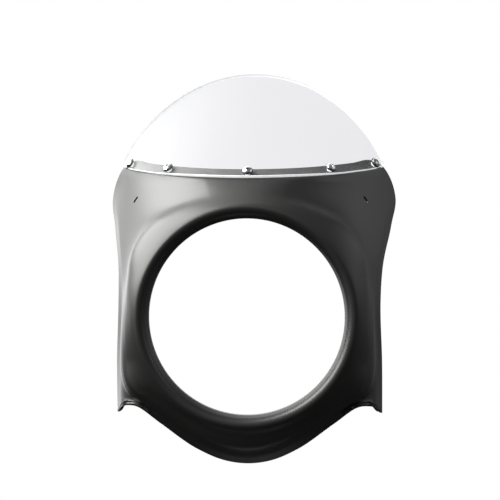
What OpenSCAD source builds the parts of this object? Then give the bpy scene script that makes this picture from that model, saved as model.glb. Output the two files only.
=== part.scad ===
// Headlight fairing with a clear screen, for a motorcycle with a round headlight.
// A moulded shell carries the headlight aperture, and a domed acrylic screen laps
// over the outside of its top margin, held by five button head screws.
// The origin is the centre of the headlight aperture. -Y faces forward and +Z is up.

/* [Headlight aperture] */
// Bore of the aperture, which takes a 7 inch headlight with its rim
aperture_d = 190; // [184:0.5:196]
// Width of the rolled lip, from the bore out to its crest
lip_w = 10.2; // [8:0.2:13]
// How far the crest of the lip stands forward of the aperture's front edge
lip_depth = 12.7; // [10:0.1:16]

/* [Shell] */
// Wall of the moulded shell
shell_wall = 3; // [2:0.25:4]
// Height of the middle of the top edge above the aperture's centre
top_height = 144; // [140:0.5:152]
// Setback of the middle of the top edge
top_setback = 21.6; // [18:0.2:28]
// How much higher the ends of the top edge stand than its middle
top_rise = 13; // [8:0.5:18]
// Width over the upper corners, where the top edge ends
corner_width = 263.6; // [252:0.2:272]
// Setback of the upper corners
corner_setback = 112.8; // [104:0.2:120]
// Greatest width, over the shoulders
shoulder_width = 293.4; // [284:0.2:306]
// Height of the shoulders above the aperture's centre
shoulder_height = 119; // [112:1:124]
// Setback of the rear edge at the shoulders
shoulder_setback = 126; // [116:1:136]
// Least width, over the side panels level with the aperture
waist_width = 260.6; // [256:0.2:268]
// Setback of the rear edge of the side panels
waist_setback = 42; // [38:1:48]
// Width over the lower corner tips
tip_width = 264; // [256:0.5:272]
// How far the tips lie below the aperture's centre
tip_drop = 97; // [94:0.5:102]
// Setback of the tips
tip_setback = 50; // [46:1:56]
// How far the chin lies below the aperture's centre
chin_drop = 144.5; // [138:0.5:152]
// Setback of the chin's edge, which turns under
chin_setback = 19; // [15:0.5:24]
// Half width of the nacelle at the crease round it
crease_half_width = 121; // [119:0.5:123]

/* [Screen] */
// Thickness of the acrylic sheet
screen_t = 3; // [2:0.5:4]
// Width of the lap of the screen over the shell, at the middle
lap = 13.6; // [12:0.2:16]
// Gap between the screen and the shell, left for the paint
lap_gap = 0.3; // [0.2:0.05:0.6]
// Height of the screen's top edge above the aperture's centre
screen_height = 245.6; // [225:0.5:265]
// Upright half axis of the ellipse that the top edge follows, seen from the front
screen_arch = 176; // [150:1:200]
// Setback of the highest point of the top edge
screen_setback = 140; // [128:1:156]
// How far the screen's corners reach past the corners of the shell
corner_overhang = 0.8; // [0:0.1:2]

/* [Fixings] */
// Thread diameter of the screws
screw_d = 5; // [4:0.5:6]
// Clearance of the screw holes and washers over the thread
hole_clearance = 0.5; // [0.2:0.1:1]
// Diameter of the button heads
head_d = 9.5; // [8:0.1:10.4]
// Height of the button heads
head_h = 2.7; // [2:0.1:3.5]
// Hexagon socket across its flats
socket_af = 3; // [2:0.5:4]
// Depth of the hexagon socket
socket_depth = 1.6; // [1:0.1:2]
// Length of thread that shows past the nut
thread_end = 1.5; // [0.5:0.1:3]
// Diameter of the soft washers under the heads
head_washer_d = 10.6; // [9:0.1:11.4]
// Thickness of the soft washers
head_washer_t = 1; // [0.5:0.1:1.6]
// Diameter of the steel washers inside the shell
backing_washer_d = 10; // [9:0.1:11]
// Thickness of the steel washers
backing_washer_t = 1; // [0.6:0.1:1.6]
// Nuts, across the flats
nut_af = 8; // [7:0.5:9]
// Height of the hexagon of a nut
nut_h = 4; // [3:0.1:5]
// Height of the round collar that holds the nylon insert
nut_collar_h = 1; // [0.5:0.1:2]
// Clearance of the nut's bore over the thread
nut_clearance = 0.2; // [0.1:0.05:0.4]
// Clearance of a flat washer to the curved screen and shell
seat_gap = 0.2; // [0.1:0.05:0.4]

/* [Bracket slots] */
// Overall length of the slot in each flank
slot_len = 8; // [6:0.5:12]
// Width of the slots
slot_w = 3.2; // [2.6:0.1:4]
// Turn of the slots from the upright, seen square to the flank
slot_turn = 38; // [20:1:60]

/* [Hidden] */

shell_color = [0.07, 0.07, 0.07];
screen_color = [0.85, 0.9, 0.93, 0.4];
chrome_color = [0.8, 0.8, 0.82];
rubber_color = [0.1, 0.1, 0.1];
zinc_color = [0.66, 0.67, 0.7];

aperture_r = aperture_d / 2;
corner = [corner_width / 2, corner_setback, top_height + top_rise - 5];
shoulder = [shoulder_width / 2, shoulder_setback, shoulder_height];
waist = [waist_width / 2, waist_setback, 10];
tip = [tip_width / 2, tip_setback, -tip_drop];
chin = [0, chin_setback, -chin_drop];

// A point of the top edge at a share of the half width. The edge sweeps back and rises
// towards the corners, and its round ends stop a little short of where it aims.
top_edge_power = 2.2;
sweep_aim = 1.06;
rise_aim = 1.15;
function top_edge(share) =
    let (u = pow(share, top_edge_power))
    [share * corner.x, top_setback + (corner_setback - top_setback) * u * sweep_aim,
        top_height + top_rise * u * rise_aim];

// Stations along the shell's edge, from the middle of the top round one side to the
// middle of the chin. Each is a point of the edge, the step from it inwards to the
// margin line, the number of columns that lead up to it, and the angle from the
// horizontal at which its section crosses the nacelle. The margin line is the
// screen's lower edge up to the corner, and the edge breaks sharply at the tip.
CORNER = 5;
TIP = 12;
stations = [
    [[0, top_setback, top_height], lap * [0, -0.707, -0.707], 0, 90],
    [top_edge(0.303), lap * [0.2, -0.69, -0.695], 4, 73],
    [top_edge(0.577), lap * [0.5, -0.5, -0.707], 4, 59],
    [top_edge(0.774), lap * [0.49, -0.26, -0.69], 3, 50.5],
    [top_edge(0.918), lap * [0.26, -0.27, -0.72], 3, 45.5],
    [corner, lap * [-0.04, -0.32, -0.26], 3, 42],
    [shoulder + [-5.2, -4, 19], [-5.3, -11, -3], 3, 38.5],
    [shoulder, [-6.2, -16, -2.5], 3, 33],
    [shoulder + [-4.7, -21, -29], [-6.5, -21, -1.5], 3, 26],
    [waist + [2.2, 18, 36], [-4.5, -12, 0], 4, 17],
    [waist, [-3.8, -8, 0], 3, 4.5],
    [tip + [-0.2, -7, 52], [-4.3, -11, 1], 4, -19.5],
    [tip, [-6.5, -19, 14], 4, -32.5],
    [tip + [-10.5, -29, 8.5], [-4, -7, 8.5], 2, -36],
    [tip + [-24, -41, 8.5], [-4.5, -4.5, 6], 2, -41],
    [chin + [85, -13, 40.5], [-4.5, -3.5, 7.5], 3, -52.5],
    [chin + [50, -8, 15.5], [-3.5, -6, 10], 4, -70],
    [chin + [22, -2, 3], [-1.5, -9.5, 10.5], 3, -82],
    [chin, [0, -10.5, 10.5], 3, -90]
];

// The crease round the nacelle, by angle from the horizontal: its radius past the
// crease's half width, and its setback
crease = [
    [-90, 1, -4], [-70, -0.5, -5], [-52, -0.5, -4.5], [-41, 6.5, -2.5], [-34, 17, 9],
    [-20, 6, 13], [4, 0, 21], [17, 5, 26], [33, 14.8, 30.5], [45, 15.5, 24.5],
    [56, 9.5, 12], [72, 2, 1], [90, -1, -2.5]
];

// The round of the nacelle between the lip and the crease, by the same angle: its
// radius past the bore's, and its setback
nacelle = [
    [-90, 18.5, -11.5], [-52, 18.5, -11], [-41, 22, -10.5], [-34, 29.5, -6],
    [-20, 24, -4.5], [4, 21.5, -3.5], [17, 24.5, -1.5], [33, 32, 1], [45, 30.5, -1.5],
    [56, 24, -6], [90, 17.5, -10]
];

// The rolled lip, as shares of its width and depth. The first point lies inside the
// bore, so that the bore cuts the wall off in a true cylinder.
land = 5;
lip = [[-0.43, -0.54], [0.31, 0.38], [0.59, 0.71], [0.76, 0.91], [1, 1], [1.3, 0.92]];

// Rows of the shell's mesh between the points of its section, and along the lap
section_rows = [2, 1, 1, 1, 1, 2, 3, 4];
lap_rows = 2;
free_rows = 12;

// Times that neighbouring sections are eased into each other, and the greatest part of
// the way that a point moves each time, at the upper corner and at the tip
ease_passes = 24;
corner_ease = 0.5;
tip_ease = 0.3;

// Stations that carry a screw, each with its side
screws = [[0, 1], [2, 1], [2, -1], [4, 1], [4, -1]];

function unit(v) = v / norm(v);
function mix(a, b, u) = a + (b - a) * u;
function mirrored(p) = [-p.x, p.y, p.z];
function running_sum(v) = [for (i = 0, s = 0; i <= len(v); s = s + (i < len(v) ? v[i] : 0), i = i + 1) s];

// Knots of a curve through points, spaced by a power of the distance between them
function knots(p, power) =
    running_sum([for (i = [0:len(p) - 2]) pow(max(norm(p[i + 1] - p[i]), 0.5), power)]);

// Slopes of a smooth curve through points at their knots
function slopes(p, t) = [
    for (k = [0:len(p) - 1])
        let (last = len(p) - 1, a = max(k - 1, 0), b = min(k + 1, last))
        let (before = k == a ? 0 : t[k] - t[a], after = k == b ? 0 : t[b] - t[k])
        k == a ? (p[b] - p[k]) / after
        : k == b ? (p[k] - p[a]) / before
        : ((p[k] - p[a]) / before * after + (p[b] - p[k]) / after * before) / (before + after)
];

// A cubic piece from p0 to p1 with the slopes m0 and m1, over a knot gap h
function cubic(p0, m0, p1, m1, h, u) =
    (2 * u * u * u - 3 * u * u + 1) * p0 + (u * u * u - 2 * u * u + u) * h * m0
    + (3 * u * u - 2 * u * u * u) * p1 + (u * u * u - u * u) * h * m1;

// A smooth value read from a table of [angle, value, value] rows, level at its ends
function read_table(table, angle) =
    let (a = min(max(angle, table[0][0]), table[len(table) - 1][0]))
    let (k = min([for (i = [0:len(table) - 2]) if (a <= table[i + 1][0]) i]))
    let (t = [for (row = table) row[0]], p = [for (row = table) [row[1], row[2]]])
    let (s = slopes(p, t), last = len(table) - 1, h = t[k + 1] - t[k])
    cubic(p[k], k == 0 ? [0, 0] : s[k], p[k + 1], k + 1 == last ? [0, 0] : s[k + 1], h, (a - t[k]) / h);

// The shell's edge and margin line. Both cross the middle plane square to it, and
// come to the tip as two separate pieces.
edge_points = [for (s = stations) s[0]];
margin_points = [for (s = stations) s[0] + s[1]];
edge_knots = knots(edge_points, 0.8);
last_station = len(stations) - 1;
function guide_slope(p, s, k, piece) =
    k == 0 || k == last_station ? [s[k].x, 0, 0]
    : k == TIP ? (p[piece + 1] - p[piece]) / (edge_knots[piece + 1] - edge_knots[piece])
    : s[k];
function guide(p) =
    let (s = slopes(p, edge_knots))
    [for (k = [1:last_station]) for (j = [0:stations[k][2] - 1 + (k == last_station ? 1 : 0)])
        cubic(p[k - 1], guide_slope(p, s, k - 1, k - 1), p[k], guide_slope(p, s, k, k - 1),
            edge_knots[k] - edge_knots[k - 1], j / stations[k][2])];
edge_line = guide(edge_points);
margin_line = guide(margin_points);
section_angles =
    let (p = [for (row = stations) [row[3], 0]], s = slopes(p, edge_knots))
    [for (k = [1:last_station]) for (j = [0:stations[k][2] - 1 + (k == last_station ? 1 : 0)])
        cubic(p[k - 1], s[k - 1], p[k], s[k], edge_knots[k] - edge_knots[k - 1], j / stations[k][2])[0]];
station_columns = running_sum([for (k = [1:last_station]) stations[k][2]]);
half_columns = station_columns[last_station];

// One section of the shell, from inside the bore over the lip, the nacelle and the
// crease to the margin line, and then straight to the edge. It meets the margin line
// in the plane of the strip between that line and the edge.
function ring_point(r, y, angle) = [r * cos(angle), y, r * sin(angle)];
function section(column) =
    let (margin = margin_line[column], edge = edge_line[column])
    let (angle = section_angles[column])
    let (round = read_table(nacelle, angle), fold = read_table(crease, angle))
    let (p = [
        for (q = lip)
            ring_point(aperture_r + lip_w * q.x, -land / 2 - lip_depth * q.y, angle),
        ring_point(aperture_r + round.x, round.y, angle),
        ring_point(crease_half_width + fold.x, fold.y, angle),
        margin, edge
    ])
    let (t = knots(p, 0.7), s = slopes(p, t), last = len(section_rows))
    let (along = column == half_columns ? [-1, 0, 0]
        : column == 0 ? [1, 0, 0] : margin_line[column + 1] - margin_line[column - 1])
    let (n = unit(cross(along, edge - margin)), chord = margin - p[last - 1])
    let (end_slope = (chord - n * (chord * n)) / (t[last] - t[last - 1]))
    [
        for (k = [0:last - 1]) for (j = [0:section_rows[k] - 1])
            cubic(p[k], s[k], p[k + 1], k + 1 == last ? end_slope : s[k + 1],
                t[k + 1] - t[k], j / section_rows[k]),
        for (j = [0:lap_rows]) mix(margin, edge, j / lap_rows)
    ];

// Eases the sections into each other where the hood turns into the flank, as far as the
// margin line, and round the tip, as far as the edge: each point there moves part of
// the way to the middle of its two neighbours, over and over.
crease_row = running_sum(section_rows)[7];
margin_row = running_sum(section_rows)[8];
corner_rows = [
    [crease_row - 2, 0], [crease_row, corner_ease], [margin_row - 1, corner_ease], [margin_row, 0]
];
corner_columns = [
    [station_columns[1], 0], [station_columns[3], 1], [station_columns[7], 1], [station_columns[9], 0]
];
tip_rows = [
    [crease_row - 2, 0], [crease_row, tip_ease], [margin_row, tip_ease], [margin_row + lap_rows, 0]
];
tip_columns = [
    [station_columns[10], 0], [station_columns[12], 1], [station_columns[14], 1], [station_columns[16], 0]
];
function eased(net, passes) =
    passes == 0 ? net
    : eased([
        for (c = [0:len(net) - 1])
            let (near_corner = lookup(c, corner_columns), near_tip = lookup(c, tip_columns))
            near_corner + near_tip == 0 ? net[c]
            : [for (r = [0:len(net[c]) - 1])
                mix(net[c][r], (net[c - 1][r] + net[c + 1][r]) / 2,
                    near_corner * lookup(r, corner_rows) + near_tip * lookup(r, tip_rows))]
    ], passes - 1);
half_sections = eased([for (c = [0:half_columns]) section(c)], ease_passes);
shell_rows = len(half_sections[0]);
shell_sections = [
    for (c = [0:half_columns]) half_sections[c],
    for (c = [half_columns - 1:-1:1]) [for (p = half_sections[c]) mirrored(p)]
];

// The normal at a point of a net of sections, facing out. A closed net runs round.
function net_normal(net, c, r, closed) =
    let (n = len(net), rows = len(net[0]))
    let (before = closed ? (c + n - 1) % n : max(c - 1, 0), after = closed ? (c + 1) % n : min(c + 1, n - 1))
    unit(cross(net[after][r] - net[before][r], net[c][min(r + 1, rows - 1)] - net[c][max(r - 1, 0)]));
function net_normals(net, closed) =
    [for (c = [0:len(net) - 1]) [for (r = [0:len(net[0]) - 1]) net_normal(net, c, r, closed)]];
function offset_net(net, normals, d) =
    [for (c = [0:len(net) - 1]) [for (r = [0:len(net[0]) - 1]) net[c][r] + normals[c][r] * d]];
shell_normals = net_normals(shell_sections, true);

// The screen: its lap follows the shell's margin on the same columns, and each column
// then runs on in a parabola to the top edge, an upright half ellipse that leans back
screen_corner_z = corner.z + corner_overhang + 1.2;
arch_end = acos(1 - (screen_height - screen_corner_z) / screen_arch);
arch_half_width = (corner.x + corner_overhang) / sin(arch_end);
arch_lean = (screen_setback - corner.y - corner_overhang) / (screen_height - screen_corner_z);
function arch_point(angle) =
    let (drop = screen_arch * (1 - cos(angle)))
    [arch_half_width * sin(angle), screen_setback - arch_lean * drop, screen_height - drop];
function column_share(column) =
    let (k = min([for (i = [1:CORNER]) if (column <= station_columns[i]) i]))
    let (u = (column - station_columns[k - 1]) / stations[k][2])
    mix(edge_knots[k - 1], edge_knots[k], u) / edge_knots[CORNER];
function screen_section(column) =
    let (rows = half_sections[column], edge = rows[shell_rows - 1])
    let (top = arch_point(arch_end * column_share(column)), chord = top - edge)
    let (n = shell_normals[column][shell_rows - 1], flat = chord - n * (chord * n))
    let (start = unit(flat) * norm(chord))
    [
        for (j = [0:lap_rows]) rows[shell_rows - 1 - lap_rows + j],
        for (j = [1:free_rows])
            cubic(edge, start, top, 2 * chord - start, 1, j / free_rows)
    ];
screen_columns = station_columns[CORNER];
screen_half = [for (c = [0:screen_columns]) screen_section(c)];
screen_sections = [
    for (c = [screen_columns:-1:1]) [for (p = screen_half[c]) mirrored(p)],
    for (c = [0:screen_columns]) screen_half[c]
];
function screen_normal(c, r) =
    let (column = abs(c - screen_columns), n = shell_normals[column][shell_rows - 1 - lap_rows + r])
    c < screen_columns ? mirrored(n) : n;
screen_normals = [
    for (c = [0:2 * screen_columns]) [for (r = [0:lap_rows + free_rows])
        r <= lap_rows ? screen_normal(c, r) : net_normal(screen_sections, c, r, false)]
];

// A wall between two nets of points that lie over each other
module wall(outer, inner, closed) {
    n = len(outer);
    rows = len(outer[0]);
    spans = closed ? n : n - 1;
    under = n * rows;
    function at(c, r) = (c % n) * rows + r;
    points = [for (column = outer) each column, for (column = inner) each column];
    faces = [
        for (c = [0:spans - 1]) for (r = [0:rows - 2])
            let (a = at(c, r), b = at(c + 1, r), d = at(c, r + 1), e = at(c + 1, r + 1))
            each [[a, d, e], [a, e, b], [a + under, e + under, d + under], [a + under, b + under, e + under]],
        for (c = [0:spans - 1])
            let (a = at(c, rows - 1), b = at(c + 1, rows - 1), d = at(c, 0), e = at(c + 1, 0))
            each [[a + under, b + under, b], [a + under, b, a], [d + under, d, e], [d + under, e, e + under]],
        if (!closed) for (r = [0:rows - 2])
            let (a = at(0, r), b = at(0, r + 1), d = at(n - 1, r), e = at(n - 1, r + 1))
            each [[a + under, b + under, b], [a + under, b, a], [d + under, d, e], [d + under, e, e + under]]
    ];
    polyhedron(points, faces, convexity = 6);
}

// Places a child on a point with its Z axis along a normal and its Y axis near a guide
module seated(p, n, guide) {
    y = unit(guide - n * (guide * n));
    x = cross(y, n);
    multmatrix([[x.x, y.x, n.x, p.x], [x.y, y.y, n.y, p.y], [x.z, y.z, n.z, p.z]]) children();
}

// Places a child at each screw, with Z = 0 on the outer face of the shell
module at_screws() {
    row = shell_rows - 1 - lap_rows / 2;
    for (s = screws) {
        column = station_columns[s[0]];
        p = half_sections[column][row];
        n = shell_normals[column][row];
        seated(s[1] > 0 ? p : mirrored(p), s[1] > 0 ? n : mirrored(n), [0, 0.5, 1]) children();
    }
}

screen_face = lap_gap + screen_t;
head_washer_base = screen_face + seat_gap;
head_base = head_washer_base + head_washer_t;
backing_top = -shell_wall - 2 * seat_gap;
nut_top = backing_top - backing_washer_t;
screw_end = nut_top - nut_h - nut_collar_h - thread_end;
through = 20;

module screw_holes() {
    at_screws() cylinder(d = screw_d + hole_clearance, h = through, center = true, $fn = 48);
}

// A slot with round ends through each flank, for the bolt of a fork bracket. It lies
// below the corner, between two rows of the flank.
slot_column = station_columns[CORNER];
slot_row = margin_row - 2;
slot_share = 0.15;
slot_point = mix(half_sections[slot_column][slot_row], half_sections[slot_column][slot_row + 1], slot_share);
slot_normal =
    unit(mix(shell_normals[slot_column][slot_row], shell_normals[slot_column][slot_row + 1], slot_share));
module bracket_slots() {
    p = slot_point;
    n = slot_normal;
    for (side = [1, -1])
        seated(side > 0 ? p : mirrored(p), side > 0 ? n : mirrored(n), [0, 0, 1])
            rotate([0, 0, side * slot_turn]) linear_extrude(through, center = true) {
                square([slot_w, slot_len - slot_w], center = true);
                for (end = [1, -1]) translate([0, end * (slot_len - slot_w) / 2]) circle(d = slot_w, $fn = 32);
            }
}

module fairing_shell() {
    color(shell_color) difference() {
        wall(shell_sections, offset_net(shell_sections, shell_normals, -shell_wall), true);
        rotate([90, 0, 0]) cylinder(r = aperture_r, h = 4 * lip_depth, center = true, $fn = 180);
        screw_holes();
        bracket_slots();
    }
}

module windscreen() {
    color(screen_color) difference() {
        wall(offset_net(screen_sections, screen_normals, screen_face),
            offset_net(screen_sections, screen_normals, lap_gap), false);
        screw_holes();
    }
}

// A button head with a hexagon socket, and its thread through both sheets
module screen_screw() {
    rim = 0.5;
    rise = head_h - rim;
    dome_r = (head_d * head_d / 4 + rise * rise) / (2 * rise);
    difference() {
        union() {
            intersection() {
                translate([0, 0, head_base + head_h - dome_r]) sphere(r = dome_r, $fn = 64);
                translate([0, 0, head_base]) cylinder(d = head_d, h = head_h, $fn = 64);
            }
            translate([0, 0, screw_end]) cylinder(d = screw_d, h = head_base - screw_end + rim, $fn = 48);
        }
        translate([0, 0, head_base + head_h - socket_depth])
            cylinder(d = socket_af / cos(30), h = socket_depth + 1, $fn = 6);
    }
}

module screen_screws() {
    color(chrome_color) at_screws() screen_screw();
}

module flat_washer(d, t) {
    difference() {
        cylinder(d = d, h = t, $fn = 64);
        translate([0, 0, -1]) cylinder(d = screw_d + hole_clearance, h = t + 2, $fn = 48);
    }
}

module head_washers() {
    color(rubber_color) at_screws() translate([0, 0, head_washer_base]) flat_washer(head_washer_d, head_washer_t);
}

module backing_washers() {
    color(zinc_color) at_screws() translate([0, 0, nut_top]) flat_washer(backing_washer_d, backing_washer_t);
}

// A nylon insert lock nut: a hexagon with a round collar at its end
module lock_nut() {
    translate([0, 0, -nut_h - nut_collar_h]) difference() {
        union() {
            translate([0, 0, nut_collar_h]) cylinder(d = nut_af / cos(30), h = nut_h, $fn = 6);
            cylinder(d = nut_af - 0.6, h = nut_collar_h + 0.5, $fn = 64);
        }
        translate([0, 0, -1]) cylinder(d = screw_d + nut_clearance, h = nut_h + nut_collar_h + 2, $fn = 48);
    }
}

module lock_nuts() {
    color(zinc_color) at_screws() translate([0, 0, nut_top]) lock_nut();
}

fairing_shell();
windscreen();
screen_screws();
head_washers();
backing_washers();
lock_nuts();
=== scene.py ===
import math

import bpy
import numpy as np
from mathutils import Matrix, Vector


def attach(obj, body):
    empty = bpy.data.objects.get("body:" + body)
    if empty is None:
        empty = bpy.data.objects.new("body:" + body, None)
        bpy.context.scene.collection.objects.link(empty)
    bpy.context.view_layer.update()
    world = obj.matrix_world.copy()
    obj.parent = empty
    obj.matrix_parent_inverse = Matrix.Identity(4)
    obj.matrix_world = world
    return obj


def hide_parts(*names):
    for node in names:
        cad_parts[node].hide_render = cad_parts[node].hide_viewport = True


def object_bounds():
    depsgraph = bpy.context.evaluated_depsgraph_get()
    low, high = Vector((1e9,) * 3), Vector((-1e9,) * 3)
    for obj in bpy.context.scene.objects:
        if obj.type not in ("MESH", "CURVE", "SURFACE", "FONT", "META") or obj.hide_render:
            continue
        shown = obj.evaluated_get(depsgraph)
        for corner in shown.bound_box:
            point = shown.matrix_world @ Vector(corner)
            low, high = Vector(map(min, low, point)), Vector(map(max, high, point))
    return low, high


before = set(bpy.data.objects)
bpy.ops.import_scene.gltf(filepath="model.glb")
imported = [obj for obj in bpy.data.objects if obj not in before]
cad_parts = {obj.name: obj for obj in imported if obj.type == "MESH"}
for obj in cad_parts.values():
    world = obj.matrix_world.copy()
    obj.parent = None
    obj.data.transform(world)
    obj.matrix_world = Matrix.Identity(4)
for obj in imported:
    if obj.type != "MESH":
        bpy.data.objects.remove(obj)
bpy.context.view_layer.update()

# Camera
# The photograph is taken from almost straight ahead, level, a little above the middle of
# the aperture and 3.3 degrees round towards the viewer's right.
mm = 0.001
view_turn = math.radians(3.3)
view_distance = 1800 * mm
view_shift = 3.43 * mm
view_height = 64.5 * mm
photo_px = 500
focal_px = 1859.5

camera = bpy.data.objects.new("camera", bpy.data.cameras.new("camera"))
bpy.context.scene.collection.objects.link(camera)
camera.location = (
    view_shift * math.cos(view_turn) + view_distance * math.sin(view_turn),
    view_shift * math.sin(view_turn) - view_distance * math.cos(view_turn),
    view_height,
)
camera.rotation_euler = (math.pi / 2, 0, view_turn)
camera.data.lens = camera.data.sensor_width * focal_px / photo_px
camera.data.clip_end = 50
bpy.context.scene.camera = camera
bpy.context.scene.view_settings.view_transform = "Standard"


# Fairing shell
# One moulding of black plastic with a 3 mm wall, painted satin. Its sections run from
# the bore of the headlight aperture over a rolled lip, the round nacelle and the crease
# round it, and spread to the free edge. The slots and screw holes are cut afterwards.
# Sizes in millimetres and angles in degrees, from the aperture's centre
aperture_r = 95.0
lip_w = 10.2
lip_depth = 12.7
land = 5.0
shell_wall = 3.0
lap = 13.6
crease_half_width = 121.0
corner = np.array([131.8, 112.8, 152.0])
shoulder = np.array([146.7, 126.0, 119.0])
waist = np.array([130.3, 42.0, 10.0])
tip = np.array([132.0, 50.0, -97.0])
chin = np.array([0.0, 19.0, -144.5])
top_height, top_setback, top_rise, top_edge_power = 144.0, 21.6, 13.0, 2.2
sweep_aim, rise_aim = 1.06, 1.15


def top_edge(share):
    """A point of the top edge at a share of its half width: it sweeps back and rises with a power of it."""
    u = share ** top_edge_power
    return np.array([share * corner[0], top_setback + (corner[1] - top_setback) * u * sweep_aim,
                     top_height + top_rise * u * rise_aim])


# Stations along the edge, from the top's middle round to the chin's: edge point, step inwards
# to the margin line, columns since the last station, section angle
stations = [
    (top_edge(0), lap * np.array([0, -0.707, -0.707]), 0, 90),
    (top_edge(0.303), lap * np.array([0.2, -0.69, -0.695]), 4, 73),
    (top_edge(0.577), lap * np.array([0.5, -0.5, -0.707]), 4, 59),
    (top_edge(0.774), lap * np.array([0.49, -0.26, -0.69]), 3, 50.5),
    (top_edge(0.918), lap * np.array([0.26, -0.27, -0.72]), 3, 45.5),
    (corner, lap * np.array([-0.04, -0.32, -0.26]), 3, 42),
    (shoulder + [-5.2, -4, 19], np.array([-5.3, -11, -3]), 3, 38.5),
    (shoulder, np.array([-6.2, -16, -2.5]), 3, 33),
    (shoulder + [-4.7, -21, -29], np.array([-6.5, -21, -1.5]), 3, 26),
    (waist + [2.2, 18, 36], np.array([-4.5, -12, 0]), 4, 17),
    (waist, np.array([-3.8, -8, 0]), 3, 4.5),
    (tip + [-0.2, -7, 52], np.array([-4.3, -11, 1]), 4, -19.5),
    (tip, np.array([-6.5, -24, 10]), 4, -34),
    (tip + [-10.5, -29, 8.5], np.array([-4.5, -10, 6]), 2, -37),
    (tip + [-24, -41, 8.5], np.array([-3, -6.5, 4.5]), 2, -41.5),
    (chin + [85, -13, 40.5], np.array([-3, -4.5, 4.5]), 3, -52.5),
    (chin + [50, -8, 15.5], np.array([-2.5, -5.5, 5.5]), 4, -70),
    (chin + [22, -2, 3], np.array([-1.2, -6.5, 6]), 3, -82),
    (chin, np.array([0, -7, 6]), 3, -90),
]
CORNER, TIP = 5, 12
# Angle round the aperture, radius past the crease's half width, setback
crease = [
    (-90, 6, -6), (-70, 2, -6.5), (-52, -1, -7), (-41, 4, -6.5), (-37, 13, -4), (-34, 20, 0),
    (-20, 9, 4), (4, 1, 12), (17, 5, 25), (33, 14.8, 30.5), (45, 15.5, 24.5), (56, 9.5, 12),
    (72, 2, 1), (90, -1, -2.5),
]
# Angle, radius past the bore's, setback
nacelle = [
    (-90, 19, -11), (-52, 17.5, -11), (-41, 21, -10.5), (-34, 28, -9), (-20, 24, -7), (4, 20.5, -5),
    (17, 24.5, -1.5), (33, 32, 1), (45, 30.5, -1.5), (56, 24, -6), (90, 17.5, -10),
]
# Shares of the lip's width and depth
lip = [(-0.43, -0.7), (0.13, 0.45), (0.3, 0.72), (0.55, 0.92), (1, 1), (1.3, 0.92)]
# Rows of each piece of a section, and those at the crease and at the margin line
section_rows = [2, 1, 1, 1, 1, 2, 3, 4]
crease_row, margin_row = sum(section_rows[:7]), sum(section_rows)
column_split, row_split, lap_rows = 4, 4, 8
edge_power, section_power, least_gap = 0.8, 0.7, 0.5
# Stations between which the easing sets in, holds and fades out
corner_reach, tip_reach = [1, 3, 7, 9], [10, 12, 14, 16]
ease_passes, corner_ease, tip_ease = 24, 0.5, 0.3
shell_rim_r, rim_steps = 0.7, 4


def knots(points, power):
    """Running sums of the distances between points, each raised to a power."""
    gaps = np.maximum(np.linalg.norm(np.diff(points, axis=0), axis=-1), least_gap) ** power
    return np.concatenate([np.zeros_like(gaps[:1]), np.cumsum(gaps, axis=0)])


def slopes(points, t):
    """Slope at each point: the chords before and after it, each weighted by the other's knot gap."""
    gap = np.diff(t, axis=0)[..., None]
    chord = np.diff(points, axis=0) / gap
    inner = (chord[:-1] * gap[1:] + chord[1:] * gap[:-1]) / (gap[:-1] + gap[1:])
    return np.concatenate([chord[:1], inner, chord[-1:]])


def cubic(p0, m0, p1, m1, gap, u):
    """A cubic piece from p0 to p1 with the slopes m0 and m1, at the shares u of its knot gap."""
    return ((2 * u**3 - 3 * u**2 + 1) * p0 + (u**3 - 2 * u**2 + u) * gap * m0
            + (3 * u**2 - 2 * u**3) * p1 + (u**3 - u**2) * gap * m1)


def along_pieces(points, starts, ends, t):
    """A curve through the stations: each cubic piece at its own number of even shares."""
    parts = []
    for k in range(1, len(stations)):
        count = stations[k][2] * column_split
        u = np.arange(count + (k == len(stations) - 1))[:, None] / count
        parts.append(cubic(points[k - 1], starts[k - 1], points[k], ends[k - 1], t[k] - t[k - 1], u))
    return np.concatenate(parts)


def guide(points, t):
    """An edge line: it crosses the middle plane square to it, and breaks at the lower tip."""
    m = slopes(points, t)
    starts, ends = m[:-1].copy(), m[1:].copy()
    starts[0, 1:] = 0
    ends[-1, 1:] = 0
    ends[TIP - 1] = (points[TIP] - points[TIP - 1]) / (t[TIP] - t[TIP - 1])
    starts[TIP] = (points[TIP + 1] - points[TIP]) / (t[TIP + 1] - t[TIP])
    return along_pieces(points, starts, ends, t)


def read_table(table, angle):
    """Smooth values from rows of angle and two values, level at the table's ends."""
    rows = np.array(table, float)
    t, p = rows[:, 0], rows[:, 1:]
    m = slopes(p, t)
    m[0] = m[-1] = 0
    a = np.clip(angle, t[0], t[-1])
    k = np.searchsorted(t[1:-1], a)
    gap = (t[k + 1] - t[k])[:, None]
    return cubic(p[k], m[k], p[k + 1], m[k + 1], gap, (a - t[k])[:, None] / gap)


edge_points = np.array([s[0] for s in stations], float)
margin_points = np.array([s[0] + s[1] for s in stations], float)
edge_knots = knots(edge_points, edge_power)
edge_line = guide(edge_points, edge_knots)
margin_line = guide(margin_points, edge_knots)
angle_points = np.array([[s[3]] for s in stations], float)
angle_slopes = slopes(angle_points, edge_knots)
section_angle = along_pieces(angle_points, angle_slopes[:-1], angle_slopes[1:], edge_knots)[:, 0]
station_column = np.cumsum([s[2] * column_split for s in stations])


def ring_points(r, y):
    """Points at the section angles, at a radius and a setback from the aperture's centre."""
    a = np.radians(section_angle)
    return np.stack([r * np.cos(a), y + 0 * a, r * np.sin(a)], axis=-1)


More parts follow.
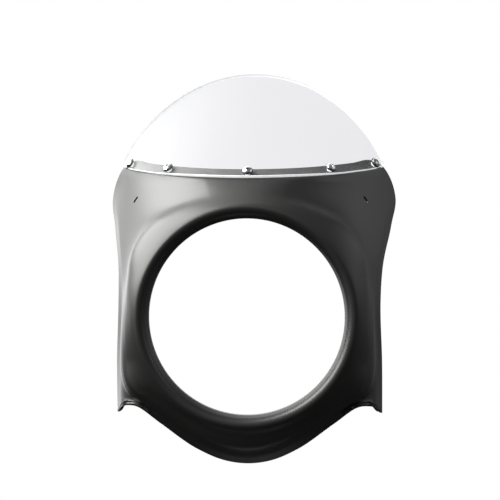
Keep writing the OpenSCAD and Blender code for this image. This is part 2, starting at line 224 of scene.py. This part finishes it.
def eased(net):
    """Each point of a row moves part of the way to the middle of its two neighbours, over and over,
    from the crease to the margin line, where the hood turns into the flank and round the lower tip."""
    row = np.arange(net.shape[0]) / row_split
    column = np.arange(net.shape[1])
    ease_rows = [crease_row - 2, crease_row, margin_row - 1, margin_row]
    at_corner = np.outer(np.interp(row, ease_rows, [0, corner_ease, corner_ease, 0]),
                         np.interp(column, station_column[corner_reach], [0, 1, 1, 0]))
    at_tip = np.outer(np.interp(row, ease_rows, [0, tip_ease, tip_ease, 0]),
                      np.interp(column, station_column[tip_reach], [0, 1, 1, 0]))
    share = (at_corner + at_tip)[:, 1:-1, None]
    for _ in range(ease_passes * column_split**2):
        net[:, 1:-1] += share * ((net[:, :-2] + net[:, 2:]) / 2 - net[:, 1:-1])
    return net


def half_net(first_share):
    """Sections of one half, as rows x columns x 3: cubic pieces through the lip's, the nacelle's
    and the crease's points to the margin line, and then straight to the edge."""
    round_part = read_table(nacelle, section_angle)
    fold = read_table(crease, section_angle)
    p = [ring_points(aperture_r + lip_w * a, -land / 2 - lip_depth * b) for a, b in lip]
    p.append(ring_points(aperture_r + round_part[:, 0], round_part[:, 1]))
    p.append(ring_points(crease_half_width + fold[:, 0], fold[:, 1]))
    p = np.array(p + [margin_line, edge_line])
    t = knots(p, section_power)
    m = slopes(p, t)
    last = len(section_rows)
    along = np.gradient(margin_line, axis=0)
    along[0], along[-1] = [1, 0, 0], [-1, 0, 0]
    n = np.cross(along, edge_line - margin_line)
    n /= np.linalg.norm(n, axis=-1, keepdims=True)
    chord = margin_line - p[last - 1]
    flat = chord - n * (chord * n).sum(-1, keepdims=True)
    m[last] = flat / (t[last] - t[last - 1])[:, None]
    rows = []
    for k, count in enumerate(section_rows):
        first = first_share if k == 0 else 0
        for share in np.linspace(first, 1, count * row_split, endpoint=False):
            rows.append(cubic(p[k], m[k], p[k + 1], m[k + 1], (t[k + 1] - t[k])[:, None], share))
    for share in np.linspace(0, 1, lap_rows + 1):
        rows.append(margin_line + (edge_line - margin_line) * share)
    return eased(np.array(rows))


def net_normals(net, closed):
    """Unit normals of a rows x columns net, from the differences of neighbouring points."""
    down = np.gradient(net, axis=0)
    across = np.gradient(net, axis=1)
    if closed:
        across = np.roll(net, -1, axis=1) - np.roll(net, 1, axis=1)
    n = np.cross(across, down)
    return n / np.linalg.norm(n, axis=-1, keepdims=True)


def both_sides(half):
    """The closed ring of a half net and its mirror image."""
    return np.concatenate([half, (half * [-1, 1, 1])[:, -2:0:-1]], axis=1)


def bore_share(depth):
    """The share of the first piece at which the skin that lies depth inside meets the bore."""
    net = both_sides(half_net(0))
    skin = net - net_normals(net, True) * depth
    first = section_rows[0] * row_split + 1
    r = np.hypot(skin[:first, 0, 0], skin[:first, 0, 2])
    return float(np.interp(aperture_r, r, np.linspace(0, 1, first)))


def shell_skin(depth):
    """The ring of sections, moved depth inwards along its normals, from the bore to the edge."""
    net = both_sides(half_net(bore_share(depth)))
    skin = net - net_normals(net, True) * depth
    r = np.hypot(skin[0, :, 0], skin[0, :, 2])[:, None]
    skin[0] *= np.hstack([aperture_r / r, np.ones_like(r), aperture_r / r])
    return skin


def rounded_rim(outer, inner, radius):
    """The rows that join the edges of two skins: a quarter circle, a flat and a quarter circle. Each
    arc's centre lies the radius back along the skin and the radius inside it."""
    tangent = outer[-1] - outer[-2]
    tangent /= np.linalg.norm(tangent, axis=-1, keepdims=True)
    across = outer[-1] - inner[-1]
    across /= np.linalg.norm(across, axis=-1, keepdims=True)
    a = np.radians(np.linspace(0, 90, rim_steps + 1))[:, None, None]
    top = outer[-1] + radius * (tangent * (np.sin(a) - 1) + across * (np.cos(a) - 1))
    bottom = inner[-1] + radius * (tangent * (np.cos(a) - 1) - across * (np.sin(a) - 1))
    return np.concatenate([top, bottom])


def grid_mesh(name, net, close_rows, close_columns, materials, caps=(), second_rows=()):
    """A mesh of quads over a rows x columns net in millimetres, closed each way where asked, with its
    caps as whole faces. The caps and the listed rows of faces take the last material."""
    rows, columns = net.shape[:2]
    i = np.arange(rows if close_rows else rows - 1)[:, None]
    j = np.arange(columns if close_columns else columns - 1)[None, :]
    ni, nj = (i + 1) % rows, (j + 1) % columns
    quads = np.stack([i * columns + j, i * columns + nj, ni * columns + nj, ni * columns + j], axis=-1)
    mesh = bpy.data.meshes.new(name)
    faces = quads.reshape(-1, 4).tolist() + [list(cap) for cap in caps]
    mesh.from_pydata(net.reshape(-1, 3) * mm, [], faces)
    for material in materials:
        mesh.materials.append(material)
    last = len(materials) - 1
    quad_material = np.zeros(quads.shape[:2], int)
    quad_material[list(second_rows)] = last
    face_material = np.append(quad_material.ravel(), np.full(len(caps), last))
    mesh.polygons.foreach_set("material_index", face_material)
    mesh.update()
    piece = bpy.data.objects.new(name, mesh)
    bpy.context.scene.collection.objects.link(piece)
    return piece


class Ink:
    """Wraps a shader socket, so that sums and products of sockets read as plain expressions."""

    def __init__(self, tree, socket):
        self.tree, self.socket = tree, socket

    def math(self, operation, a, b):
        return self.node("ShaderNodeMath", {"operation": operation}, {0: a, 1: b})["Value"]

    def __add__(self, other):
        return self.math("ADD", self, other)

    def __mul__(self, other):
        return self.math("MULTIPLY", self, other)

    def __sub__(self, other):
        return self.math("SUBTRACT", self, other)

    def __rsub__(self, other):
        return self.math("SUBTRACT", other, self)

    __radd__, __rmul__ = __add__, __mul__

    def node(self, kind, settings=None, inputs=None):
        """Adds a node, makes its settings, then sets or links its inputs; gives its outputs by name."""
        made = self.tree.nodes.new(kind)
        for key, value in (settings or {}).items():
            if key == "stops":
                ramp = made.color_ramp
                ramp.elements[0].position, ramp.elements[0].color = value[0]
                ramp.elements[1].position, ramp.elements[1].color = value[-1]
                for position, colour in value[1:-1]:
                    ramp.elements.new(position).color = colour
            else:
                setattr(made, key, value)
        for key, value in (inputs or {}).items():
            if isinstance(value, Ink):
                self.tree.links.new(value.socket, made.inputs[key])
            else:
                made.inputs[key].default_value = value
        return {out.name: Ink(self.tree, out) for out in made.outputs}

    def show(self, output="ShaderNodeOutputMaterial"):
        """Links this shader to a new output node."""
        self.tree.links.new(self.socket, self.tree.nodes.new(output).inputs["Surface"])


def new_material(name):
    """An empty material, the Ink that adds its nodes, and the Object coordinates that they read."""
    material = bpy.data.materials.new(name)
    material.use_nodes = True
    material.node_tree.nodes.clear()
    ink = Ink(material.node_tree, None)
    return material, ink, ink.node("ShaderNodeTexCoord")["Object"]


def satin_black():
    """Black paint with a fine orange peel, a little rougher in faint cloudy patches."""
    material, ink, place = new_material("satin_black")
    cloud = ink.node("ShaderNodeTexNoise", inputs={"Vector": place, "Scale": 14, "Detail": 3})["Fac"]
    peel = ink.node("ShaderNodeTexNoise", inputs={"Vector": place, "Scale": 900, "Detail": 2})["Fac"]
    bump = ink.node("ShaderNodeBump", inputs={
        "Strength": 0.008, "Distance": 0.0002, "Height": peel})["Normal"]
    shader = ink.node("ShaderNodeBsdfPrincipled", inputs={
        "Base Color": (0.006, 0.0062, 0.006, 1), "Roughness": 0.38 + cloud * 0.06, "IOR": 1.5,
        "Specular IOR Level": 0.9, "Normal": bump})["BSDF"]
    shader.show()
    return material


def lap_painted_reflection():
    """The lap under the screen, painted a dull grey in faint cloudy patches: a painted reflection of the
    bright room in the clear sheet, over a shell that is black there as elsewhere.
    """
    material, ink, place = new_material("lap_painted_reflection")
    cloud = ink.node("ShaderNodeTexNoise", inputs={"Vector": place, "Scale": 40, "Detail": 3})["Fac"]
    # Painted reflection: these greys stand in for the room mirrored in the clear sheet over the black lap
    painted_reflection_greys = [(0.3, (0.15, 0.15, 0.145, 1)), (0.7, (0.19, 0.19, 0.185, 1))]
    painted_reflection_tone = ink.node("ShaderNodeValToRGB", {"stops": painted_reflection_greys}, {"Fac": cloud})["Color"]
    shader = ink.node("ShaderNodeBsdfPrincipled", inputs={
        "Base Color": painted_reflection_tone, "Roughness": 0.5 + cloud * 0.2, "Specular IOR Level": 0.2})["BSDF"]
    shader.show()
    return material


def cut(piece, cutters):
    """Cuts the cutters' solids out of a piece and removes them."""
    for cutter in cutters:
        change = piece.modifiers.new("cut", "BOOLEAN")
        change.operation, change.solver, change.object = "DIFFERENCE", "EXACT", cutter
    bpy.context.view_layer.update()
    made = bpy.data.meshes.new_from_object(piece.evaluated_get(bpy.context.evaluated_depsgraph_get()))
    piece.modifiers.clear()
    piece.data = made
    for cutter in cutters:
        bpy.data.objects.remove(cutter)


def smooth(piece, degrees):
    """Shades a piece smooth, with sharp edges where its faces meet at more than an angle."""
    piece.data.shade_smooth()
    piece.data.set_sharp_from_angle(angle=math.radians(degrees))


outer_skin = shell_skin(0)
inner_skin = shell_skin(shell_wall)
shell_rim = rounded_rim(outer_skin, inner_skin, shell_rim_r)
shell_net = np.concatenate([outer_skin[:-1], shell_rim, inner_skin[-2::-1]])
paint = satin_black()
shell_piece = grid_mesh("shell", shell_net, True, True, [paint, lap_painted_reflection()])
# The faces of the lap take the painted grey of the sheet's reflection, from the top's middle out to the
# corner on both sides
painted_reflection_index = np.zeros(shell_net.shape[:2], int)
lap_span = slice(len(outer_skin) - 1 - lap_rows, len(outer_skin) - 1)
painted_reflection_index[lap_span, :station_column[CORNER]] = 1
painted_reflection_index[lap_span, -station_column[CORNER]:] = 1
shell_piece.data.polygons.foreach_set("material_index", painted_reflection_index.ravel())


# Seats of the screws and slots
# The five screws stand square to the middle of the lap, and a slot for a fork bracket's bolt
# lies on each flank below the hood. The holes and slots are drilled and milled through the wall.
screw_d, hole_clearance, cut_reach = 5.0, 0.5, 10
# Station and side of each screw
screws = [(0, 1), (2, 1), (2, -1), (4, 1), (4, -1)]
slot_row, slot_len, slot_w, slot_turn = margin_row - 1.85, 8.0, 3.2, 38.0
half = half_net(0)
half_normals = net_normals(both_sides(half), True)[:, :half.shape[1]]


def seat(row, column, side, guide_direction):
    """The point of the shell there, and three unit directions as rows: the normal is the third, and
    the second is the guide direction made square to it."""
    mirror = np.array([side, 1, 1])
    above = int(row)
    share = row - above
    p = (half[above, column] * (1 - share) + half[above + 1, column] * share) * mirror
    n = (half_normals[above, column] * (1 - share) + half_normals[above + 1, column] * share) * mirror
    n /= np.linalg.norm(n)
    y = np.array(guide_direction, float)
    y -= n * (y @ n)
    y /= np.linalg.norm(y)
    return p, np.array([np.cross(y, n), y, n])


def prism(name, outline, axes, p, reach, material):
    """A closed prism over an outline in a seat's first two directions, that reaches as far each way
    along the third."""
    n = len(outline)
    rings = np.stack([np.column_stack([outline, np.full(n, z)]) @ axes + p for z in (-reach, reach)])
    return grid_mesh(name, rings, False, True, [material], caps=[range(n)[::-1], range(n, 2 * n)])


def circle(r, count=48):
    """Points of a circle: the radius times the cosine and the sine of even angles."""
    a = np.linspace(0, 2 * np.pi, count, endpoint=False)
    return r * np.column_stack([np.cos(a), np.sin(a)])


def slot_outline(side):
    """A slot with round ends: a circle whose halves are moved apart, turned from the upright."""
    p = circle(slot_w / 2)
    p[:, 1] += np.where(p[:, 1] > 0, 1, -1) * (slot_len - slot_w) / 2
    t = math.radians(side * slot_turn)
    return p @ np.array([[math.cos(t), math.sin(t)], [-math.sin(t), math.cos(t)]])


screw_row = half.shape[0] - 1 - lap_rows // 2
screw_seats = [seat(screw_row, station_column[k], side, (0, 0.5, 1)) for k, side in screws]
hole_r = (screw_d + hole_clearance) / 2
cutters = [prism("hole", circle(hole_r), axes, p, cut_reach, paint) for p, axes in screw_seats]
for side in (1, -1):
    p, axes = seat(slot_row * row_split, station_column[CORNER], side, (0, 0, 1))
    cutters.append(prism("slot", slot_outline(side), axes, p, cut_reach, paint))
cut(shell_piece, cutters)
smooth(shell_piece, degrees=35)
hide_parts("fairing_shell")
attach(shell_piece, "root")


# Windscreen
# One sheet of clear acrylic, 3 mm thick, blown to a dome with polished edges. Its lower margin
# laps over the outside of the shell, and the rest runs on in a smooth curve to an arched top edge.
screen_t, lap_gap, screen_rim_r = 3.0, 0.3, 0.5
screen_height, screen_arch, screen_setback = 245.6, 176.0, 140.0
corner_overhang, corner_lift = 0.8, 1.2
free_rows = 60
corner_z = corner[2] + corner_overhang + corner_lift
arch_end = math.acos(1 - (screen_height - corner_z) / screen_arch)
arch_half_width = (corner[0] + corner_overhang) / math.sin(arch_end)
arch_lean = (screen_setback - corner[1] - corner_overhang) / (screen_height - corner_z)

screen_columns = station_column[CORNER] + 1
column_knot = np.interp(np.arange(screen_columns), station_column[:CORNER + 1], edge_knots[:CORNER + 1])
arch_angle = arch_end * column_knot / edge_knots[CORNER]
drop = screen_arch * (1 - np.cos(arch_angle))
arch_line = np.column_stack([arch_half_width * np.sin(arch_angle), screen_setback - arch_lean * drop,
                             screen_height - drop])
edge_part = half[-1, :screen_columns]
edge_normal = half_normals[-1, :screen_columns]
rise = arch_line - edge_part
flat = rise - edge_normal * (rise * edge_normal).sum(-1, keepdims=True)
start = flat / np.linalg.norm(flat, axis=-1, keepdims=True) * np.linalg.norm(rise, axis=-1, keepdims=True)
free_part = np.array([cubic(edge_part, start, arch_line, 2 * rise - start, 1, u)
                      for u in np.linspace(0, 1, free_rows + 1)[1:]])
screen_half = np.concatenate([half[-1 - lap_rows:, :screen_columns], free_part])
screen_net = np.concatenate([(screen_half * [-1, 1, 1])[:, :0:-1], screen_half], axis=1)
screen_normal = net_normals(screen_net, False)
lap_normal = half_normals[-1 - lap_rows:, :screen_columns]
screen_normal[:lap_rows + 1] = np.concatenate([(lap_normal * [-1, 1, 1])[:, :0:-1], lap_normal], axis=1)
screen_outer = screen_net + screen_normal * (lap_gap + screen_t)
screen_inner = screen_net + screen_normal * lap_gap


def clear_acrylic():
    """Clear acrylic: it lets light straight through, and mirrors the room the more the flatter it is
    seen, by 0.012 + 0.7 * (1 - cosine)^5 at each of its two faces."""
    material, ink, place = new_material("clear_acrylic")
    wave = ink.node("ShaderNodeTexNoise", inputs={"Vector": place, "Scale": 9, "Detail": 1})["Fac"]
    bump = ink.node("ShaderNodeBump", inputs={"Strength": 0.05, "Distance": 0.001, "Height": wave})["Normal"]
    shine = ink.node("ShaderNodeBsdfPrincipled", inputs={
        "Base Color": (0.9, 0.91, 0.92, 1), "Metallic": 1.0, "Roughness": 0.55 + wave * 0.1,
        "Normal": bump})["BSDF"]
    clear = ink.node("ShaderNodeBsdfTransparent", inputs={"Color": (0.922, 0.92, 0.93, 1)})["BSDF"]
    facing = ink.node("ShaderNodeLayerWeight", inputs={"Blend": 0.5})["Facing"]
    mirror = 0.012 + ink.math("POWER", facing, 5) * 0.7
    mixed = ink.node("ShaderNodeMixShader", inputs={0: mirror, 1: clear, 2: shine})["Shader"]
    mixed.show()
    return material


def cut_edge_painted_glow():
    """The polished cut edge of the sheet, frosted white, with a painted glow in faint streaks that stands in
    for the light the sheet gathers: the edge gives off light though it is no lamp."""
    material, ink, place = new_material("cut_edge_painted_glow")
    streak = ink.node("ShaderNodeTexNoise", inputs={"Vector": place, "Scale": 260, "Detail": 2})["Fac"]
    painted_glow_whites = [(0.3, (0.75, 0.77, 0.78, 1)), (0.7, (0.95, 0.96, 0.97, 1))]
    glow = ink.node("ShaderNodeValToRGB", {"stops": painted_glow_whites}, {"Fac": streak})["Color"]
    # Painted glow: the emission lights the edge itself, in place of light piped through the sheet
    shader = ink.node("ShaderNodeBsdfPrincipled", inputs={
        "Base Color": (0.8, 0.82, 0.83, 1), "Roughness": 0.25 + streak * 0.2, "Emission Color": glow,
        "Emission Strength": 0.6})["BSDF"]
    shader.show()
    return material


top_rim = rounded_rim(screen_outer, screen_inner, screen_rim_r)
lower_rim = rounded_rim(screen_outer[::-1], screen_inner[::-1], screen_rim_r)[::-1]
screen_loop = np.concatenate([screen_outer[1:-1], top_rim, screen_inner[-2:0:-1], lower_rim])
skin_rows, rim_rows = screen_outer.shape[0] - 2, top_rim.shape[0]
cut_rows = np.arange(rim_rows - 1)
edge_rows = [*(skin_rows + cut_rows), *(2 * skin_rows + rim_rows + cut_rows)]
ends = np.arange(screen_loop.shape[0]) * screen_loop.shape[1]
acrylic, painted_glow_edge = clear_acrylic(), cut_edge_painted_glow()
# The rim rows take the painted glow of the cut edge
screen_piece = grid_mesh("screen", screen_loop, True, False, [acrylic, painted_glow_edge],
                         caps=[ends, ends[::-1] + screen_loop.shape[1] - 1], second_rows=edge_rows)
cutters = [prism("hole", circle(hole_r), axes, p, cut_reach, painted_glow_edge) for p, axes in screw_seats]
cut(screen_piece, cutters)
smooth(screen_piece, degrees=40)
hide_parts("windscreen")
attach(screen_piece, "root")


# Screws, washers and nuts
# Bright plated button head screws with a hexagon socket and a rolled thread stand on black
# rubber washers, with zinc plated washers and lock nuts inside the shell. The washers and
# the nuts keep the CAD's own meshes.
seat_gap, head_washer_t, backing_washer_t = 0.2, 1.0, 1.0
nut_h, nut_collar_h, thread_end = 4.0, 1.0, 1.5
# Heights of the head's foot and of the screw's end above the shell's outside
head_base = lap_gap + screen_t + seat_gap + head_washer_t
screw_end = -(shell_wall + 2 * seat_gap + backing_washer_t + nut_h + nut_collar_h + thread_end)
head_d, head_h, head_rim, rim_round = 9.5, 2.7, 0.5, 0.25
socket_af, socket_depth, socket_chamfer = 3.0, 1.6, 0.15
pitch, thread_depth, thread_runout, end_chamfer = 0.8, 0.45, 1.2, 0.6
screw_columns, dome_rows, round_rows, thread_steps = 60, 10, 4, 6


def metal(name, colour, roughness, scratch):
    """Plated metal, with faint smears that change its roughness."""
    material, ink, place = new_material(name)
    smear = ink.node("ShaderNodeTexNoise", inputs={"Vector": place, "Scale": 600, "Detail": 3})["Fac"]
    shader = ink.node("ShaderNodeBsdfPrincipled", inputs={
        "Base Color": colour, "Metallic": 1.0, "Roughness": roughness + smear * scratch})["BSDF"]
    shader.show()
    return material


def rubber():
    """Black rubber with a fine dusty grain."""
    material, ink, place = new_material("washer_rubber")
    grain = ink.node("ShaderNodeTexNoise", inputs={"Vector": place, "Scale": 1500, "Detail": 2})["Fac"]
    bump = ink.node("ShaderNodeBump", inputs={"Strength": 0.2, "Distance": 0.0001, "Height": grain})["Normal"]
    shader = ink.node("ShaderNodeBsdfPrincipled", inputs={
        "Base Color": (0.015, 0.015, 0.015, 1), "Roughness": 0.6 + grain * 0.2, "Normal": bump})["BSDF"]
    shader.show()
    return material


def screw_net():
    """One screw about the seat's Z, as rows from the bottom of its hexagon socket out over the domed
    head, in to the thread and along it. The thread's radius falls and rises once in each pitch, and
    the pitch runs round with the angle, so that the groove is a true helix."""
    a = np.linspace(2 * np.pi, 0, screw_columns, endpoint=False)
    hexagon = socket_af / 2 / np.cos(np.mod(a, np.pi / 3) - np.pi / 6)
    top = head_base + head_h
    head_r = head_d / 2
    dome_h = head_h - head_rim
    dome_r = (head_r**2 + dome_h**2) / (2 * dome_h)
    rows = [(hexagon, top - socket_depth), (hexagon, top - socket_chamfer)]
    for r in np.linspace(socket_af / math.sqrt(3) + socket_chamfer, head_r - rim_round, dome_rows):
        rows.append((r, top - dome_r + math.sqrt(dome_r**2 - r * r)))
    for turn in np.radians(np.linspace(30, 90, round_rows)):
        rows.append((head_r - rim_round * (1 - math.sin(turn)),
                     head_base + head_rim - rim_round * (1 - math.cos(turn))))
    rows += [(head_r, head_base + rim_round), (head_r - rim_round, head_base), (screw_d / 2, head_base)]
    shank = head_base - screw_end
    for z in np.linspace(head_base, screw_end, round(shank / pitch) * thread_steps):
        cut_in = np.clip(min(head_base - z, z - screw_end + end_chamfer) / thread_runout, 0, 1)
        phase = np.mod(z / pitch - a / (2 * np.pi), 1)
        r = screw_d / 2 - thread_depth * cut_in * (1 - np.abs(2 * phase - 1))
        rows.append((np.minimum(r, screw_d / 2 - end_chamfer + z - screw_end), z))
    return np.array([np.column_stack([r * np.cos(a), r * np.sin(a), z + 0 * a]) for r, z in rows])


chrome = metal("screw_chrome", (0.8, 0.8, 0.81, 1), roughness=0.08, scratch=0.08)
one_screw = screw_net()
first_ring = range(screw_columns)
last_ring = range((one_screw.shape[0] - 1) * screw_columns, one_screw.shape[0] * screw_columns)
for number, (p, axes) in enumerate(screw_seats, 1):
    screw = grid_mesh(f"screw_{number}", one_screw @ axes + p, False, True, [chrome],
                      caps=[first_ring[::-1], last_ring])
    smooth(screw, degrees=40)
    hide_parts("screen_screws")
    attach(screw, "root")

zinc = metal("zinc_plate", (0.62, 0.63, 0.65, 1), roughness=0.28, scratch=0.15)
soft_black = rubber()
finishes = {"head_washers": soft_black, "backing_washers": zinc, "lock_nuts": zinc}
for name, finish in finishes.items():
    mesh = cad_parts[name].data
    mesh.materials.clear()
    mesh.materials.append(finish)


# Studio
# A pale floor well below the part, a large softbox at the upper left, a small weak one above
# and a white surround. The camera's side of the room is dark, as a black shell shows it.
floor_r, floor_drop, floor_white, floor_points = 0.6, 1.6, 0.6, 96
fade_start, fade_end = 0.2 * floor_r, 0.98 * floor_r
floor_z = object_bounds()[0][2] - floor_drop
part_middle = (0, 0, 0.05)
lamp_colour = (0.99, 1, 0.965)


def floor_paint():
    """Matt white that fades out at the rim of the floor."""
    material, ink, place = new_material("floor_paint")
    reach = ink.node("ShaderNodeVectorMath", {"operation": "LENGTH"}, {0: place})["Value"]
    fade = ink.node("ShaderNodeMapRange", inputs={
        "Value": reach, "From Min": fade_start, "From Max": fade_end})["Result"]
    white = ink.node("ShaderNodeBsdfDiffuse", inputs={
        "Color": (floor_white, floor_white, floor_white, 1)})["BSDF"]
    clear = ink.node("ShaderNodeBsdfTransparent", inputs={"Color": (1, 1, 1, 1)})["BSDF"]
    mixed = ink.node("ShaderNodeMixShader", inputs={0: fade, 1: white, 2: clear})["Shader"]
    mixed.show()
    return material


floor_mesh = bpy.data.meshes.new("floor")
floor_rim = np.column_stack([circle(floor_r / mm, floor_points) * mm, np.zeros(floor_points)])
floor_mesh.from_pydata(floor_rim, [], [list(range(floor_points))])
floor_mesh.materials.append(floor_paint())
floor = bpy.data.objects.new("floor", floor_mesh)
floor.location = (0, 0.05, floor_z)
bpy.context.scene.collection.objects.link(floor)


def softbox(name, place, aim, size, radiance):
    """A flat lamp whose face has a given radiance, aimed at a point: its energy is the radiance times
    pi times its area."""
    lamp = bpy.data.lights.new(name, "AREA")
    lamp.shape, lamp.size, lamp.size_y = "RECTANGLE", size[0], size[1]
    lamp.energy = radiance * math.pi * size[0] * size[1]
    lamp.color = lamp_colour
    piece = bpy.data.objects.new(name, lamp)
    piece.location = place
    direction = np.array(aim, float) - np.array(place, float)
    tilt = math.atan2(math.hypot(direction[0], direction[1]), -direction[2])
    turn = math.atan2(direction[1], direction[0]) - math.pi / 2
    piece.rotation_euler = (tilt, 0, turn)
    bpy.context.scene.collection.objects.link(piece)
    piece.visible_camera = False


softbox("left_softbox", (-1.25, -0.22, 1.0), part_middle, size=(2.1, 1.5), radiance=8.5)
softbox("top_softbox", (-0.35, 0.1, 1.7), part_middle, size=(0.8, 0.8), radiance=1.0)

world = bpy.data.worlds.new("surround")
world.use_nodes = True
world.node_tree.nodes.clear()
sky = Ink(world.node_tree, None)
path = sky.node("ShaderNodeLightPath")
ray = sky.node("ShaderNodeTexCoord")["Generated"]
parts = sky.node("ShaderNodeSeparateXYZ", inputs={0: ray})


def ramp(value, start, end, low, high):
    """Runs evenly from low to high as a value of the sky goes from start to end."""
    return sky.node("ShaderNodeMapRange", inputs={
        "Value": value, "From Min": start, "From Max": end, "To Min": low, "To Max": high})["Result"]


# What the shiny faces mirror, by direction: a bright wall behind that is brighter at the left, a
# wall at the right and a ceiling that is lighter at the left
dark_side, matt_light = 0.02, 0.3
back_wall = (ramp(parts["Y"], 0.35, 0.9, 0, 1) * ramp(parts["X"], -0.3, 0.3, 3.4, 0.2)
             * ramp(parts["Z"], -0.4, 0, 0, 1))
right_wall = ramp(parts["X"], 0.6, 0.9, 0, 0.9) * ramp(parts["Z"], 0, 0.5, 0.1, 1)
ceiling = ramp(parts["Z"], -0.1, 0.5, 0, 1) * ramp(parts["X"], -0.5, 0.5, 0.45, 0.1)
room = dark_side + ceiling + right_wall
seen = sky.math("MAXIMUM", path["Is Camera Ray"], path["Is Transmission Ray"])
mirrored = path["Is Glossy Ray"]
strength = seen + (1 - seen) * (mirrored * (room + back_wall) + (1 - mirrored) * matt_light)
glow = sky.node("ShaderNodeBackground", inputs={"Color": (1, 1, 1, 1), "Strength": strength})["Background"]
glow.show("ShaderNodeOutputWorld")
bpy.context.scene.world = world
